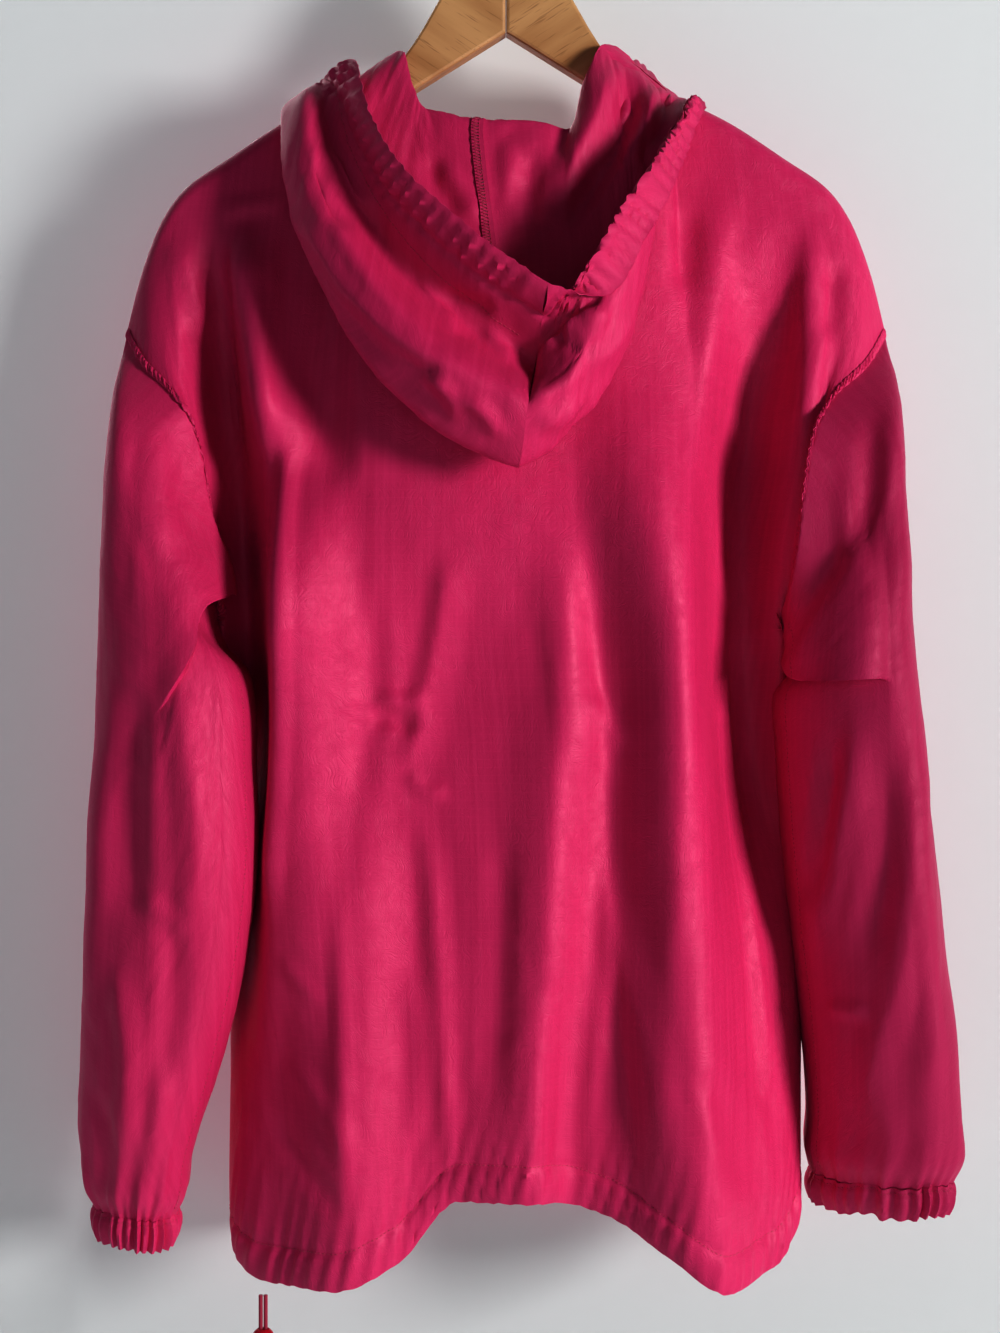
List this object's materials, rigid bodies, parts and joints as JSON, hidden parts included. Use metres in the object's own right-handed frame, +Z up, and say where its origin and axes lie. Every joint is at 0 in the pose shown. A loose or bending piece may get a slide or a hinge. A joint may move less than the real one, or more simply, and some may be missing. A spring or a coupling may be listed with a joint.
{
  "type": "anorak pullover on a wooden clothes hanger",
  "caption": "Hooded pullover windbreaker in thin ripstop nylon, hanging from a flat wooden hanger with its hood down the back.",
  "frame": {"origin": "the hang point: the middle of the inner top of the hanger's hook", "axes": "+Z up; -Y is the garment's back, where the hood lies; +Y is its front; +X is the wearer's right"},
  "size_m": [0.5507, 0.1807, 0.9647],
  "materials": {
    "nylon": "glossy crimson ripstop weave",
    "elastic": "braided round elastic",
    "bead": "gloss",
    "wood": "satin varnish",
    "steel": "polished wire"
  },
  "bodies": {
    "root": {"back_panel": "nylon", "front_panel": "nylon", "sleeve_left": "nylon", "sleeve_right": "nylon", "cuff_left": "nylon", "cuff_right": "nylon", "hood_left": "nylon", "hood_right": "nylon", "hood_casing_left": "nylon", "hood_casing_right": "nylon", "hem_casing_back": "nylon", "hem_casing_front": "nylon", "hem_cord": "elastic", "cord_stopper": "bead", "hanger_arm_left": "wood", "hanger_arm_right": "wood", "hanger_hook": "steel"}
  },
  "joints": []
}
